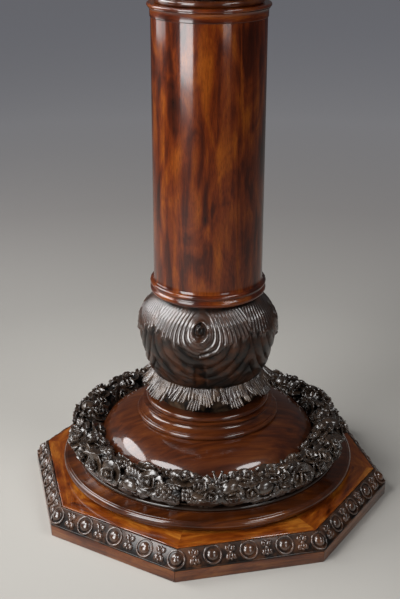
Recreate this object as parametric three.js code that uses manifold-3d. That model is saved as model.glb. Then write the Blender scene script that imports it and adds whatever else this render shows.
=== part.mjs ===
// A carved mahogany column pedestal, built up as a cabinet maker would: an octagonal plinth, a stack of
// turned and carved stages, a coopered and veneered shaft, a carved capital and a round top. One iron tie
// rod, with a nut at each end, draws the whole stack together.
// Millimetres, +Z up, the floor at z = 0, the rod on the Z axis.
import * as THREE from 'three';
import { mergeVertices } from 'three/addons/utils/BufferGeometryUtils.js';
import Module from 'manifold-3d';

// --- driving dimensions --------------------------------------------------------------------------

// Clearances
const glueGap = 0.3; // between mitred or bedded pieces
const socketGap = 0.3; // round a tenon, radially
const boreGap = 0.5; // round the tie rod, radially

// Octagonal plinth
const sides = 8;
const plinthAcross = 530; // across the flats
const skirtHeight = 18;
const skirtWidth = 60;
const deckThickness = 26;
const edgeHeight = 25; // carved moulding round the deck
const edgeLean = 17; // how far its top is set back from its foot
const edgeFillet = 2.5; // plain strip at its foot
const edgeLand = 8; // flat on its top
const coinsPerSide = 4; // spacings from corner to corner
const coinRadius = 12;
const coinProud = 2.6;
const coinRoot = 3; // depth of a coin inside the moulding
const blockLeg = 36; // glue block, along each board
const blockHeight = 15;

// Turned base
const baseFillet = 3.6; // plain strip at its foot
const baseFilletRadius = 221;
const baseBeadRadius = 7; // the half-round
const baseBeadCentre = 223; // radius at which the half-round is struck
const baseSlope = 5.4; // height of the hollow slope above the half-round
const baseSlopeRadius = 208.5; // at the head of the slope
const seatRadius = 208;
const seatThickness = 5.5;
const domeRadius = 170;
const domeCrownRadius = 90; // radius at which its crown is struck
const domeFlatRadius = 112; // flat on its top, under the neck moulding
const domeSkirt = 11.5; // upright part at its foot
const domeRise = 45; // from there to its flat

// Carved wreath, in segments on the seat, round the dome
const wreathSegments = 4;
const wreathHalfWidth = 21;
const wreathHeight = 51;
const wreathDomeGap = 3;
const bloomsPerSegment = 5;
const bloomRadius = 15;
const bloomProud = 7;

// Neck moulding between the dome and the carving
const neckLowerBead = 3.7;
const neckLowerRadius = 107.3; // radius at which the lower bead is struck
const neckFillet = 2; // height of the strips below and above the cove
const neckLowerFilletRadius = 106.5;
const neckUpperFilletRadius = 101.5;
const neckCoveRadius = 97;
const neckCoveHeight = 11.1;
const neckUpperBead = 4.3;
const neckUpperRadius = 91.7;

// Carved collar of leaf tips
const collarHeight = 45;
const collarFootRadius = 79;
const collarTipRadius = 96;
const collarTipHeight = 13; // tips above the seat
const collarTopRadius = 86;
const collarLobes = 12;
const collarLobeDepth = 6;

// Carved bulb, with four scrolled leaves
const bulbHeight = 128;
const bulbFootRadius = 85;
const bulbBellyRadius = 104;
const bulbBellyHeight = 70;
const bulbShoulderRadius = 95;
const bulbShoulderHeight = 101;
const bulbTopRadius = 76;
const scrolls = 4;
const scrollTurn = -18; // degrees, of the first scroll from the front
const scrollHeight = 100; // of its middle, above the foot of the bulb
const scrollHalfWidth = 15;
const scrollHalfHeight = 23;
const scrollProud = 5;
const footTenonRadius = 35;
const footTenonDepth = 20; // in the neck moulding
const topTenonRadius = 30;
const topTenonDepth = 17; // in the plugs of the shaft

// Shaft
const shaftRadius = 82;
const shaftHeight = 386.5;
const veneerThickness = 1.5;
const seamWidth = 0.4;
const seamTurn = 17; // degrees, of the seam from the front
const staves = 8;
const staveThickness = 24;
const plugThickness = 30;
const ringLowerBead = 5;
const ringLowerRadius = 82.5; // radius at which the lower bead is struck
const ringQuirk = 1.5;
const ringUpperBead = 4;
const ringUpperRadius = 83.5;
const topBandRadius = 88;
const topBandHeight = 19;
const topBandFlare = 4; // height over which it swells from the shaft
const topQuirkHeight = 13;
const topQuirkDepth = 1.4;
const topQuirkWidth = 0.8;
const neckBead = 4.5;
const neckBeadRadius = 73.5;

// Capital and top
const capitalHeight = 90;
const capitalFootRadius = 70;
const capitalRimRadius = 110;
const capitalLobes = 12;
const capitalLobeDepth = 5;
const headSocketDepth = 8;
const abacusThickness = 28;
const abacusFootRadius = 113;
const abacusRadius = 128;
const abacusFillet = 6;
const topRadius = 190;
const topThickness = 22;
const topFillet = 4;
const topUnderRadius = 178;

// Iron work
const rodRadius = 6;
const rodEnd = 3; // beyond each nut
const washerRadius = 22;
const washerThickness = 2.5;
const nutAcross = 20;
const nutThickness = 8;
const plateAcross = 70;
const plateThickness = 4;
const wellGap = 1; // round and above the upper nut
const screws = 3;
const screwCircle = 92; // radius
const screwLength = 40;
const screwRadius = 2.3;
const screwHeadRadius = 4.6;
const screwHeadDepth = 3;

// Facets
const wideFacets = 48;
const fineFacets = 36;
const smallFacets = 12;

// --- heights, worked out from the foot up --------------------------------------------------------

const deckTop = skirtHeight + deckThickness;
const baseTop = deckTop + baseFillet + 2 * baseBeadRadius + baseSlope;
const seatTop = baseTop + seatThickness;
const domeTop = seatTop + domeSkirt + domeRise;
const neckBeads = 2 * neckLowerBead + 2 * neckUpperBead;
const neckHeight = neckBeads + 2 * neckFillet + neckCoveHeight;
const neckTop = domeTop + neckHeight;
const collarTop = neckTop + collarHeight;
const bulbTop = collarTop + bulbHeight;
const ringTop = bulbTop + 2 * ringLowerBead + ringQuirk + 2 * ringUpperBead;
const shaftTop = ringTop + shaftHeight;
const bandTop = shaftTop + topBandHeight;
const beadTop = bandTop + 2 * neckBead;
const capitalTop = beadTop + capitalHeight;
const abacusTop = capitalTop + abacusThickness;
const wellDepth = washerThickness + nutThickness + rodEnd + wellGap;
const wellFloor = abacusTop - wellDepth;

const boreRadius = rodRadius + boreGap;
const wreathRadius = domeRadius + wreathDomeGap + wreathHalfWidth; // of its middle
const footSocket = footTenonRadius + socketGap;
const topSocket = topTenonRadius + socketGap;
const staveOuter = shaftRadius - veneerThickness - 1.5 * glueGap;
const staveBore = staveOuter - staveThickness;
const halfTurn = Math.PI / sides; // half the angle that one side of the octagon spans
const plinthApothem = plinthAcross / 2;
const edgeBack = plinthApothem - edgeLean - edgeLand;
const skirtInner = plinthApothem - skirtWidth;

// --- materials -----------------------------------------------------------------------------------

function material(color, roughness, metalness = 0) {
  return new THREE.MeshStandardMaterial({ color, roughness, metalness });
}
const polished = material('#6b2f12', 0.18);
const veneered = material('#8a4216', 0.18);
const carved = material('#2c1a14', 0.35);
const pine = material('#b08a5a', 0.7);
const iron = material('#3a3835', 0.55, 0.9);
const brass = material('#a5823f', 0.35, 0.9);

// --- helpers -------------------------------------------------------------------------------------

const pedestal = new THREE.Group();
const wasm = await Module();
wasm.setup();

function place(name, geometry, finish, turn = 0) {
  const mesh = new THREE.Mesh(geometry, finish);
  mesh.name = name;
  mesh.rotation.z = turn;
  pedestal.add(mesh);
  return mesh;
}

function radians(degrees) {
  return THREE.MathUtils.degToRad(degrees);
}

// Points on an arc in a profile, from one angle to another in degrees, 0 pointing out and 90 up.
function arc(radius, height, size, from, to, steps) {
  return Array.from({ length: steps + 1 }, (_, i) => {
    const angle = radians(from + ((to - from) * i) / steps);
    return [radius + size * Math.cos(angle), height + size * Math.sin(angle)];
  });
}

// A solid of revolution about Z. The profile holds [radius, height] pairs, up the outside and down the inside.
function turned(profile, facets) {
  const onAxis = profile[0][0] === 0;
  const closed = onAxis ? profile : [...profile, profile[0]];
  const points = closed.map(([radius, height]) => new THREE.Vector2(radius, height));
  return new THREE.LatheGeometry(points, facets).rotateX(Math.PI / 2);
}

// An upright prism on a flat outline.
function prism(outline, bottom, height, holes = []) {
  const shape = new THREE.Shape(outline.map(([x, y]) => new THREE.Vector2(x, y)));
  shape.holes = holes.map((hole) => new THREE.Path(hole.map(([x, y]) => new THREE.Vector2(x, y))));
  const geometry = new THREE.ExtrudeGeometry(shape, { depth: height, bevelEnabled: false });
  return geometry.translate(0, 0, bottom);
}

// Moves every vertex. Equal vertices move alike, so a closed body stays closed.
function reshape(geometry, move) {
  const position = geometry.getAttribute('position');
  const point = new THREE.Vector3();
  for (let i = 0; i < position.count; i++) {
    point.fromBufferAttribute(position, i);
    move(point);
    position.setXYZ(i, point.x, point.y, point.z);
  }
  return geometry;
}

// Moves the vertices of a turned piece outwards and up by what carving(angle, radius, height) returns.
function carve(geometry, carving) {
  return reshape(geometry, (point) => {
    const radius = Math.hypot(point.x, point.y);
    const angle = Math.atan2(point.x, -point.y);
    const [outwards, upwards] = carving(angle, radius, point.z);
    point.x += (point.x / radius) * outwards;
    point.y += (point.y / radius) * outwards;
    point.z += upwards;
  });
}

function circle(radius, facets, x = 0, y = 0) {
  return Array.from({ length: facets }, (_, i) => {
    const angle = (2 * Math.PI * i) / facets;
    return [x + radius * Math.cos(angle), y + radius * Math.sin(angle)];
  });
}

function square(across) {
  const half = across / 2;
  return [[-half, -half], [half, -half], [half, half], [-half, half]];
}

function solid(geometry) {
  const bare = new THREE.BufferGeometry();
  const flat = geometry.index ? geometry.toNonIndexed() : geometry;
  bare.setAttribute('position', flat.getAttribute('position'));
  const merged = mergeVertices(bare, 1e-3);
  const vertProperties = merged.attributes.position.array;
  const triVerts = new Uint32Array(merged.index.array);
  return new wasm.Manifold(new wasm.Mesh({ numProp: 3, vertProperties, triVerts }));
}

function body(made) {
  const mesh = made.getMesh();
  const geometry = new THREE.BufferGeometry();
  geometry.setAttribute('position', new THREE.BufferAttribute(mesh.vertProperties, 3));
  geometry.setIndex(new THREE.BufferAttribute(mesh.triVerts, 1));
  return geometry;
}

// A smooth hump: 1 in the middle, 0 from one half-width out.
function hump(across, along = 0) {
  return Math.max(0, 1 - across * across - along * along);
}

// The angle from a to b the short way round, in radians.
function between(a, b) {
  return Math.atan2(Math.sin(b - a), Math.cos(b - a));
}

// --- plinth --------------------------------------------------------------------------------------

// A length of moulding for one side of the octagon, mitred at both ends. The section holds [apothem, height].
function mitredSide(section) {
  const shape = new THREE.Shape(section.map(([apothem, height]) => new THREE.Vector2(apothem, height)));
  const geometry = new THREE.ExtrudeGeometry(shape, { depth: 1, bevelEnabled: false });
  return reshape(geometry, (point) => {
    const [apothem, height, end] = [point.x, point.y, point.z];
    const half = apothem * Math.tan(halfTurn) - glueGap / 2;
    point.set(end > 0.5 ? -half : half, -apothem, height);
  });
}

function skirtBoard() {
  return mitredSide([
    [skirtInner, 0],
    [plinthApothem, 0],
    [plinthApothem, skirtHeight],
    [skirtInner, skirtHeight],
  ]);
}

// The sloped face of the carved moulding: its middle, and the angle that it leans back by.
const faceFoot = new THREE.Vector2(plinthApothem, skirtHeight + edgeFillet);
const faceHead = new THREE.Vector2(plinthApothem - edgeLean, skirtHeight + edgeHeight);
const faceMiddle = faceFoot.clone().add(faceHead).multiplyScalar(0.5);
const faceLean = Math.atan2(edgeLean, edgeHeight - edgeFillet);

function coin() {
  const profile = [
    [0, -coinRoot],
    [coinRadius, -coinRoot],
    [coinRadius, coinProud / 2],
    [0, coinProud],
  ];
  return turned(profile, 8);
}

// A coin of the carving, at a place along the side, standing on the sloped face.
function coinAt(along) {
  return coin()
    .rotateX(Math.PI / 2 - faceLean)
    .translate(along, -faceMiddle.x, faceMiddle.y);
}

function carvedEdge() {
  const foot = skirtHeight;
  const head = skirtHeight + edgeHeight;
  const plain = mitredSide([
    [edgeBack, foot],
    [plinthApothem, foot],
    [plinthApothem, foot + edgeFillet],
    [plinthApothem - edgeLean, head],
    [edgeBack, head],
  ]);
  const sideLength = 2 * faceMiddle.x * Math.tan(halfTurn);
  const spacing = sideLength / coinsPerSide;
  const wedge = mitredSide([
    [edgeBack, foot + glueGap],
    [plinthApothem + 2 * coinProud, foot + glueGap],
    [plinthApothem + 2 * coinProud, head + coinProud],
    [edgeBack, head + coinProud],
  ]);
  let made = solid(plain);
  for (let i = 0; i <= coinsPerSide; i++) {
    const along = -sideLength / 2 + spacing * i;
    made = made.add(solid(coinAt(along)).intersect(solid(wedge)));
  }
  return body(made);
}

function deckPanel() {
  const apothem = edgeBack - glueGap;
  const corners = circle(apothem / Math.cos(halfTurn), sides);
  const turn = new THREE.Vector2();
  const outline = corners.map(([x, y]) => turn.set(x, y).rotateAround(new THREE.Vector2(), halfTurn).toArray());
  return prism(outline, skirtHeight, deckThickness, [circle(boreRadius, smallFacets)]);
}

// A triangular block glued in the angle of two skirt boards.
function glueBlock() {
  const corner = (skirtInner - glueGap) / Math.cos(halfTurn);
  const reach = blockLeg * Math.cos(halfTurn);
  const depth = blockLeg * Math.sin(halfTurn);
  const outline = [
    [0, -corner],
    [reach, -corner + depth],
    [-reach, -corner + depth],
  ];
  return prism(outline, skirtHeight - blockHeight, blockHeight);
}

function addPlinth() {
  place('deck_panel', deckPanel(), veneered);
  for (let i = 0; i < sides; i++) {
    const turn = 2 * halfTurn * i;
    place(`skirt_board_${i + 1}`, skirtBoard(), polished, turn);
    place(`carved_edge_${i + 1}`, carvedEdge(), carved, turn);
    place(`glue_block_${i + 1}`, glueBlock(), pine, turn + halfTurn);
  }
}

// --- turned base and wreath ----------------------------------------------------------------------

function baseMoulding() {
  const middle = deckTop + baseFillet + baseBeadRadius;
  const slopeFoot = middle + baseBeadRadius;
  return turned(
    [
      [boreRadius, deckTop],
      [baseFilletRadius, deckTop],
      [baseFilletRadius, deckTop + baseFillet],
      ...arc(baseBeadCentre, middle, baseBeadRadius, -90, 90, 6),
      [(baseBeadCentre + baseSlopeRadius) / 2, slopeFoot + baseSlope / 4],
      [baseSlopeRadius, baseTop - baseSlope / 5],
      [baseSlopeRadius, baseTop],
      [boreRadius, baseTop],
    ],
    wideFacets,
  );
}

function wreathSeat() {
  const half = seatThickness / 2;
  return turned(
    [
      [boreRadius, baseTop],
      ...arc(seatRadius - half, baseTop + half, half, -90, 90, 3),
      [boreRadius, seatTop],
    ],
    wideFacets,
  );
}

function dome() {
  const shoulder = seatTop + domeSkirt;
  const sweep = domeRadius - domeCrownRadius;
  const end = Math.acos((domeFlatRadius - domeCrownRadius) / sweep);
  const steps = 6;
  const crown = Array.from({ length: steps + 1 }, (_, i) => {
    const angle = (end * i) / steps;
    const rise = (domeRise * Math.sin(angle)) / Math.sin(end);
    return [domeCrownRadius + sweep * Math.cos(angle), shoulder + rise];
  });
  return turned([[boreRadius, seatTop], [domeRadius, seatTop], ...crown, [boreRadius, domeTop]], wideFacets);
}

// One segment of the wreath: a lumpy roll, flat underneath, bent round the dome.
function wreathSegment(index) {
  const span = (2 * Math.PI) / wreathSegments;
  const gapAngle = glueGap / wreathRadius;
  const start = span * index;
  const points = 12;
  const steps = 4 * bloomsPerSegment;
  const halfHeight = wreathHeight / 2 / Math.cos(Math.PI / points);
  const middle = seatTop + wreathHeight / 2;
  const section = Array.from({ length: points }, (_, i) => {
    const angle = ((i + 0.5) / points) * 2 * Math.PI;
    return new THREE.Vector2(wreathHalfWidth * Math.cos(angle), halfHeight * Math.sin(angle));
  });
  const roll = new THREE.ExtrudeGeometry(new THREE.Shape(section), { depth: 1, steps, bevelEnabled: false });
  const pitch = span / bloomsPerSegment;
  return reshape(roll, (point) => {
    const angle = start + gapAngle / 2 + (span - gapAngle) * (1 - point.z);
    const around = Math.atan2(point.y, point.x);
    let lift = 0;
    for (let bloom = 0; bloom < bloomsPerSegment; bloom++) {
      const centre = start + pitch * (bloom + 0.5);
      const high = bloom % 2 ? radians(20) : radians(70);
      const along = (between(centre, angle) * wreathRadius) / bloomRadius;
      const across = (between(high, around) * wreathHalfWidth) / bloomRadius;
      lift += bloomProud * hump(along, across);
    }
    const radius = wreathRadius + point.x + lift * Math.cos(around);
    const height = middle + point.y + lift * Math.max(0, Math.sin(around));
    point.set(radius * Math.sin(angle), -radius * Math.cos(angle), height);
  });
}

function addBase() {
  place('base_moulding', baseMoulding(), veneered);
  place('wreath_seat', wreathSeat(), carved);
  place('dome', dome(), polished);
  for (let i = 0; i < wreathSegments; i++) {
    place(`wreath_segment_${i + 1}`, wreathSegment(i), carved);
  }
}

// --- neck moulding, leaf collar and bulb ---------------------------------------------------------

function neckMoulding() {
  const lower = domeTop + neckLowerBead;
  const coveFoot = lower + neckLowerBead + neckFillet;
  const coveHead = coveFoot + neckCoveHeight;
  const upper = coveHead + neckFillet + neckUpperBead;
  return turned(
    [
      [boreRadius, domeTop],
      ...arc(neckLowerRadius, lower, neckLowerBead, -90, 90, 4),
      [neckLowerFilletRadius, coveFoot - neckFillet],
      [neckLowerFilletRadius, coveFoot],
      [neckCoveRadius, coveFoot + neckCoveHeight / 3],
      [neckCoveRadius, coveHead - neckCoveHeight / 3],
      [neckUpperFilletRadius, coveHead],
      [neckUpperFilletRadius, coveHead + neckFillet],
      ...arc(neckUpperRadius, upper, neckUpperBead, -90, 90, 4),
      [footSocket, neckTop],
      [footSocket, neckTop - footTenonDepth],
      [boreRadius, neckTop - footTenonDepth],
    ],
    fineFacets,
  );
}

// Scallops round a rim: 1 in the middle of a lobe, 0 between two lobes.
function lobe(angle, count) {
  return Math.abs(Math.cos((angle * count) / 2));
}

function leafCollar() {
  const plain = turned(
    [
      [footSocket, neckTop],
      [collarFootRadius, neckTop],
      [collarFootRadius, neckTop + collarTipHeight / 2],
      [collarTipRadius - collarLobeDepth / 2, neckTop + collarTipHeight],
      [collarTipRadius, neckTop + collarTipHeight + 3],
      [(collarTipRadius + collarTopRadius) / 2, neckTop + (collarTipHeight + collarHeight) / 2],
      [collarTopRadius, neckTop + collarHeight],
      [footSocket, neckTop + collarHeight],
    ],
    2 * 2 * collarLobes,
  );
  const spread = collarTipRadius - collarFootRadius;
  return carve(plain, (angle, radius, height) => {
    const flare = Math.max(0, radius - collarFootRadius) / spread;
    const isTop = height > collarTop - 1;
    const share = isTop ? 0 : flare;
    const shape = lobe(angle - radians(scrollTurn), collarLobes) - 0.6;
    return [collarLobeDepth * shape * share, -collarLobeDepth * 0.5 * shape * share];
  });
}

function carvedBulb() {
  const outline = new THREE.SplineCurve([
    new THREE.Vector2(bulbFootRadius, collarTop),
    new THREE.Vector2((bulbFootRadius + bulbBellyRadius) / 2, collarTop + bulbBellyHeight * 0.33),
    new THREE.Vector2(bulbBellyRadius, collarTop + bulbBellyHeight),
    new THREE.Vector2(bulbShoulderRadius, collarTop + bulbShoulderHeight),
    new THREE.Vector2(bulbTopRadius, bulbTop),
  ]);
  const flank = outline.getSpacedPoints(12).map((point) => point.toArray());
  const tenonFoot = neckTop - footTenonDepth + glueGap;
  const tenonHead = ringTop + topTenonDepth - glueGap;
  const plain = turned(
    [
      [boreRadius, tenonFoot],
      [footTenonRadius, tenonFoot],
      [footTenonRadius, collarTop],
      ...flank,
      [topTenonRadius, bulbTop],
      [topTenonRadius, tenonHead],
      [boreRadius, tenonHead],
    ],
    wideFacets,
  );
  const first = radians(scrollTurn);
  const pitch = (2 * Math.PI) / scrolls;
  return carve(plain, (angle, radius, height) => {
    const nearest = first + pitch * Math.round((angle - first) / pitch);
    const across = ((angle - nearest) * bulbBellyRadius) / scrollHalfWidth;
    const along = (height - collarTop - scrollHeight) / scrollHalfHeight;
    const onFlank = radius > bulbTopRadius ? 1 : 0;
    return [onFlank * scrollProud * hump(across, along), 0];
  });
}

function addNeck() {
  place('neck_moulding', neckMoulding(), polished);
  place('leaf_collar', leafCollar(), carved);
  place('carved_bulb', carvedBulb(), carved);
}

// --- shaft ---------------------------------------------------------------------------------------

function shaftRing() {
  const quirk = bulbTop + 2 * ringLowerBead;
  const valley = ringLowerRadius + ringLowerBead / 2;
  return turned(
    [
      [topSocket, bulbTop],
      ...arc(ringLowerRadius, bulbTop + ringLowerBead, ringLowerBead, -90, 60, 4),
      [valley, quirk],
      [valley, quirk + ringQuirk],
      ...arc(ringUpperRadius, ringTop - ringUpperBead, ringUpperBead, -60, 90, 4),
      [topSocket, ringTop],
    ],
    fineFacets,
  );
}

// The veneer is one sheet wrapped round the staves, so it has one upright seam.
function shaftVeneer() {
  const half = seamWidth / 2 / shaftRadius;
  const inner = shaftRadius - veneerThickness;
  const sweep = (from, to, radius) =>
    Array.from({ length: fineFacets + 1 }, (_, i) => {
      const angle = from + ((to - from) * i) / fineFacets;
      return [radius * Math.cos(angle), radius * Math.sin(angle)];
    });
  const [from, to] = [half, 2 * Math.PI - half];
  return prism([...sweep(from, to, shaftRadius), ...sweep(to, from, inner)], ringTop, shaftHeight);
}

// One stave of the coopered core: round outside, flat inside, with bevelled edges.
function stave() {
  const half = Math.PI / staves;
  const gapAngle = glueGap / 2 / staveOuter;
  const steps = 4;
  const outside = Array.from({ length: steps + 1 }, (_, i) => {
    const angle = -Math.PI / 2 - half + gapAngle + (2 * (half - gapAngle) * i) / steps;
    return [staveOuter * Math.cos(angle), staveOuter * Math.sin(angle)];
  });
  const inside = staveBore * Math.tan(half) - glueGap / 2;
  return prism([...outside, [inside, -staveBore], [-inside, -staveBore]], ringTop, shaftHeight);
}

// A turned plug that closes one end of the core and takes a tenon from above or below.
function shaftPlug(bottom, socketFoot, socketHead) {
  const outer = staveBore - glueGap;
  const top = bottom + plugThickness;
  const socketBelow = socketFoot === bottom;
  const profile = socketBelow
    ? [
        [topSocket, bottom],
        [outer, bottom],
        [outer, top],
        [boreRadius, top],
        [boreRadius, socketHead],
        [topSocket, socketHead],
      ]
    : [
        [boreRadius, bottom],
        [outer, bottom],
        [outer, top],
        [topSocket, top],
        [topSocket, socketFoot],
        [boreRadius, socketFoot],
      ];
  return turned(profile, smallFacets * 2);
}

function topBand() {
  const quirk = shaftTop + topQuirkHeight;
  return turned(
    [
      [topSocket, shaftTop],
      [shaftRadius, shaftTop],
      [topBandRadius, shaftTop + topBandFlare],
      [topBandRadius, quirk],
      [topBandRadius - topQuirkDepth, quirk],
      [topBandRadius - topQuirkDepth, quirk + topQuirkWidth],
      [topBandRadius, quirk + topQuirkWidth],
      [topBandRadius - topQuirkDepth, bandTop],
      [topSocket, bandTop],
    ],
    fineFacets,
  );
}

function neckBeadRing() {
  return turned(
    [
      [topSocket, bandTop],
      ...arc(neckBeadRadius, bandTop + neckBead, neckBead, -90, 90, 4),
      [topSocket, beadTop],
    ],
    fineFacets,
  );
}

function addShaft() {
  const upperPlug = shaftTop - plugThickness;
  place('shaft_ring', shaftRing(), polished);
  place('shaft_veneer', shaftVeneer(), veneered, radians(seamTurn - 90));
  for (let i = 0; i < staves; i++) {
    place(`shaft_stave_${i + 1}`, stave(), pine, (2 * Math.PI * i) / staves);
  }
  place('plug_lower', shaftPlug(ringTop, ringTop, ringTop + topTenonDepth), pine);
  place('plug_upper', shaftPlug(upperPlug, shaftTop - topTenonDepth, shaftTop), pine);
  place('shaft_top_band', topBand(), polished);
  place('neck_bead', neckBeadRing(), polished);
}

// --- capital and top -----------------------------------------------------------------------------

function capital() {
  const outline = new THREE.SplineCurve([
    new THREE.Vector2(capitalFootRadius, beadTop),
    new THREE.Vector2(capitalFootRadius + 2, beadTop + capitalHeight * 0.3),
    new THREE.Vector2((capitalFootRadius + capitalRimRadius) / 2, beadTop + capitalHeight * 0.72),
    new THREE.Vector2(capitalRimRadius, capitalTop),
  ]);
  const flank = outline.getSpacedPoints(6).map((point) => point.toArray());
  const tenonFoot = shaftTop - topTenonDepth + glueGap;
  const tenonHead = capitalTop + headSocketDepth - glueGap;
  const plain = turned(
    [
      [boreRadius, tenonFoot],
      [topTenonRadius, tenonFoot],
      [topTenonRadius, beadTop],
      ...flank,
      [topTenonRadius, capitalTop],
      [topTenonRadius, tenonHead],
      [boreRadius, tenonHead],
    ],
    4 * capitalLobes,
  );
  const spread = capitalRimRadius - capitalFootRadius;
  return carve(plain, (angle, radius) => {
    const share = Math.max(0, radius - capitalFootRadius) / spread;
    return [capitalLobeDepth * (lobe(angle, capitalLobes) - 1) * share, 0];
  });
}

// A countersunk wood screw, point up, or the hole for it, larger all round by a clearance.
function screwShape(clearance) {
  const head = capitalTop;
  const neck = head + screwHeadDepth;
  const tip = head + screwLength + clearance;
  return turned(
    [
      [0, head],
      [screwHeadRadius + clearance, head],
      [screwRadius + clearance, neck + clearance],
      [screwRadius + clearance, tip - screwRadius],
      [0, tip],
    ],
    12,
  );
}

function screwAngle(index) {
  return (2 * Math.PI * (index + 0.5)) / screws;
}

function screwPlace(geometry, index) {
  const angle = screwAngle(index);
  return geometry.translate(screwCircle * Math.sin(angle), -screwCircle * Math.cos(angle), 0);
}

function drilled(geometry) {
  let made = solid(geometry);
  for (let i = 0; i < screws; i++) {
    made = made.subtract(solid(screwPlace(screwShape(glueGap), i)));
  }
  return body(made);
}

function abacus() {
  const wellRadius = washerRadius + wellGap;
  const swell = abacusTop - abacusFillet;
  const socketHead = capitalTop + headSocketDepth;
  const depth = abacusRadius - abacusFootRadius;
  return drilled(
    turned(
      [
        [topSocket, capitalTop],
        [abacusFootRadius, capitalTop],
        [abacusFootRadius, capitalTop + abacusFillet / 2],
        [abacusFootRadius + depth * 0.35, capitalTop + (swell - capitalTop) * 0.6],
        [abacusRadius, swell],
        [abacusRadius, abacusTop],
        [wellRadius, abacusTop],
        [wellRadius, wellFloor],
        [boreRadius, wellFloor],
        [boreRadius, socketHead],
        [topSocket, socketHead],
      ],
      fineFacets,
    ),
  );
}

function topBoard() {
  const head = abacusTop + topThickness;
  const foot = abacusTop + topFillet;
  const nose = (topThickness - topFillet) / 2;
  return drilled(
    turned(
      [
        [0, abacusTop],
        [topUnderRadius, abacusTop],
        [topUnderRadius, foot],
        ...arc(topRadius - nose, foot + nose, nose, -90, 90, 4),
        [0, head],
      ],
      wideFacets,
    ),
  );
}

function addTop() {
  place('capital', capital(), carved);
  place('abacus', abacus(), polished);
  place('top_board', topBoard(), veneered);
  for (let i = 0; i < screws; i++) {
    place(`top_screw_${i + 1}`, screwPlace(screwShape(0), i), brass);
  }
}

// --- tie rod -------------------------------------------------------------------------------------

function addTieRod() {
  const hole = circle(rodRadius + glueGap, smallFacets);
  const plateFoot = skirtHeight - plateThickness;
  const lowerNut = plateFoot - nutThickness;
  const upperNut = wellFloor + washerThickness;
  const rodFoot = lowerNut - rodEnd;
  const rodTop = upperNut + nutThickness + rodEnd;
  place('tie_rod', prism(circle(rodRadius, smallFacets), rodFoot, rodTop - rodFoot), iron);
  place('rod_plate', prism(square(plateAcross), plateFoot, plateThickness, [hole]), iron);
  place('rod_nut_lower', prism(square(nutAcross), lowerNut, nutThickness, [hole]), iron);
  place('rod_washer', prism(circle(washerRadius, smallFacets), wellFloor, washerThickness, [hole]), iron);
  place('rod_nut_upper', prism(square(nutAcross), upperNut, nutThickness, [hole]), iron);
}

addPlinth();
addBase();
addNeck();
addShaft();
addTop();
addTieRod();

export default pedestal;
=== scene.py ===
"""A carved mahogany column pedestal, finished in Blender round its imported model.

Metres, +Z up, the floor at z = 0. Angles round the pedestal are counted from the front (-Y),
anticlockwise seen from above, so a point at angle a lies at (r sin a, -r cos a).
"""

import math
import random

import bmesh
import bpy
from mathutils import Matrix, Vector, noise


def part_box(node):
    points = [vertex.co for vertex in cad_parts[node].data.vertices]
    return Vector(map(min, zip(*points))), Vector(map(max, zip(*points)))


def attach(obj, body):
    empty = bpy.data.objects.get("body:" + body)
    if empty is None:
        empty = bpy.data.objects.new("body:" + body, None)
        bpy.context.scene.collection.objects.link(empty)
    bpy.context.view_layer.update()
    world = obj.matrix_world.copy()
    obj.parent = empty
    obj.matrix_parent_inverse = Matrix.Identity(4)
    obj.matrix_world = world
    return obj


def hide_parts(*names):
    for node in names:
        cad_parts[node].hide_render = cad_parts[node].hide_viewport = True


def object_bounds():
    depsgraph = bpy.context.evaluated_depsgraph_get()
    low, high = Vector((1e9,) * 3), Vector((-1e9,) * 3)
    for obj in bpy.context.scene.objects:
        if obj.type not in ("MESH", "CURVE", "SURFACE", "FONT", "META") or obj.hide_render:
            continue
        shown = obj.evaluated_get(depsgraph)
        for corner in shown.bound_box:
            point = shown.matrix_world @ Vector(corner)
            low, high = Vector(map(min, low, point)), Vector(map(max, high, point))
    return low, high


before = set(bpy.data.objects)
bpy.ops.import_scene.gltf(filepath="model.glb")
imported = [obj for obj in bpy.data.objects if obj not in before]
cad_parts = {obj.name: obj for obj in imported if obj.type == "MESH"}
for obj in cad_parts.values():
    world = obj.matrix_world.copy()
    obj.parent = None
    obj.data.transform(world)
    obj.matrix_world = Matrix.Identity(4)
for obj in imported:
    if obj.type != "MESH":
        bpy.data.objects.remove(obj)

cad_low, cad_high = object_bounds()

MM = 0.001
TURN = 2 * math.pi
SIDES = 8
FULL = 192  # facets round the polished turnings

# Radii in millimetres of what joins the turned pieces, and of the holes it goes in.
BORE = 6.5  # for the tie rod
TENON = 30  # on top of the bulb, and at both ends of the capital
TENON_HOLE = 30.3
PEG = 35  # the bulb's lower tenon
PEG_HOLE = 35.3

# --- the photograph's camera ---

IMAGE_HEIGHT = 599  # pixels
FOCAL_LENGTH = 1126.7  # pixels
CAMERA_ANGLE = math.radians(-13.5)  # round the pedestal, from the front
CAMERA_DISTANCE = 1.598
CAMERA_HEIGHT = 0.959
CAMERA_PITCH = math.radians(21.99)  # downwards
CAMERA_TURN = math.radians(0.435)  # the column stands this far right of the middle
CAMERA_ROLL = math.radians(0.08)
SENSOR = 36.0  # millimetres, on the picture's long side


def add_camera():
    data = bpy.data.cameras.new("camera")
    data.sensor_width = SENSOR
    data.lens = FOCAL_LENGTH / IMAGE_HEIGHT * SENSOR
    data.clip_end = 60
    camera = added("camera", data)
    place = Matrix.Translation(around(CAMERA_DISTANCE, CAMERA_ANGLE, CAMERA_HEIGHT))
    turn = spun(CAMERA_ANGLE + CAMERA_TURN) @ spun(math.pi / 2 - CAMERA_PITCH, "X") @ spun(CAMERA_ROLL)
    camera.matrix_world = place @ turn
    bpy.context.scene.camera = camera


# --- shared helpers ---


def around(radius, angle, height):
    return Vector((radius * math.sin(angle), -radius * math.cos(angle), height))


def angle_of(point):
    return math.atan2(point.x, -point.y)


def wrapped(angle):
    return (angle + math.pi) % TURN - math.pi


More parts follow.
